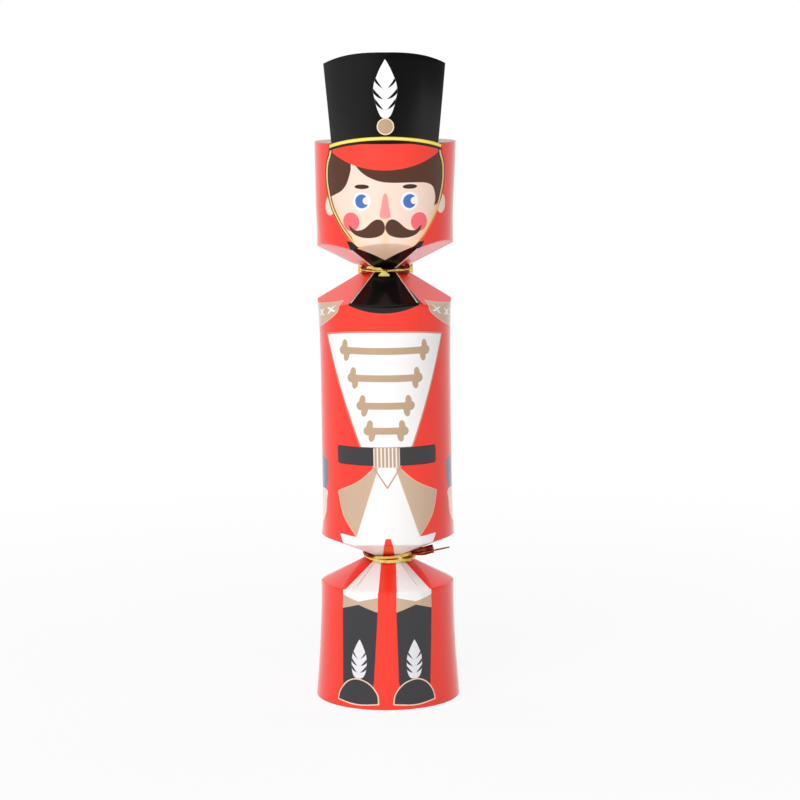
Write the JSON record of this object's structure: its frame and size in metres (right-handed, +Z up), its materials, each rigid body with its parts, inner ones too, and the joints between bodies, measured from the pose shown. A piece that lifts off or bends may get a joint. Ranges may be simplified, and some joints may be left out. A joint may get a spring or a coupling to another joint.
{
  "type": "christmas cracker",
  "caption": "Christmas cracker printed as a toy soldier: a card tube tied in at two necks, with a snap, a rolled paper crown, a motto slip and a spinning top inside.",
  "frame": {"origin": "on the table, at the centre of the foot's open rim", "axes": "+Z up along the tube's axis from the foot to the hat, -Y the way the face looks, +X to the viewer's right"},
  "size_m": [0.0534, 0.0534, 0.238],
  "materials": {
    "printed_card": "glossy print on white card",
    "clear_tape": "double-sided tape",
    "gold_foil": "crumpled metallised ribbon",
    "tie_wire": "bare wire",
    "strip_card": "matte",
    "glue_pad": "dried glue",
    "snap_charge": "dull powder coat",
    "snap_striker": "rough abrasive coat",
    "band_paper": "matte",
    "tissue": "matte tissue",
    "motto_paper": "matte",
    "painted_wood": "satin paint",
    "plain_wood": "satin"
  },
  "bodies": {
    "foot": {"foot_wrap": "printed_card", "foot_seam_tape": "clear_tape", "lower_tie_foil": "gold_foil", "lower_tie_wire": "tie_wire", "snap_lower_strip": "strip_card", "snap_lower_pad": "glue_pad", "snap_charge": "snap_charge", "snap_band": "band_paper"},
    "barrel": {"barrel_wrap": "printed_card", "barrel_seam_tape": "clear_tape"},
    "head": {"head_wrap": "printed_card", "head_seam_tape": "clear_tape", "upper_tie_foil": "gold_foil", "upper_tie_wire": "tie_wire", "snap_upper_strip": "strip_card", "snap_upper_pad": "glue_pad", "snap_striker": "snap_striker"},
    "crown": {"paper_crown": "tissue", "crown_band": "band_paper"},
    "motto": {"motto_slip": "motto_paper"},
    "gift": {"top_disc": "painted_wood", "top_spindle": "plain_wood"}
  },
  "joints": [
    {"name": "foot_pull", "type": "slide", "parent": "foot", "child": "barrel", "axis": [0, 0, 1], "range_m": [0, 0.09]},
    {"name": "head_pull", "type": "slide", "parent": "barrel", "child": "head", "axis": [0, 0, 1], "range_m": [0, 0.09]},
    {"name": "crown_play", "type": "slide", "parent": "barrel", "child": "crown", "axis": [0, 0, 1], "range_m": [0, 0.022]},
    {"name": "motto_play", "type": "slide", "parent": "barrel", "child": "motto", "axis": [0, 0, 1], "range_m": [0, 0.038]},
    {"name": "gift_play", "type": "slide", "parent": "barrel", "child": "gift", "axis": [0, 0, 1], "range_m": [0, 0.058]}
  ]
}
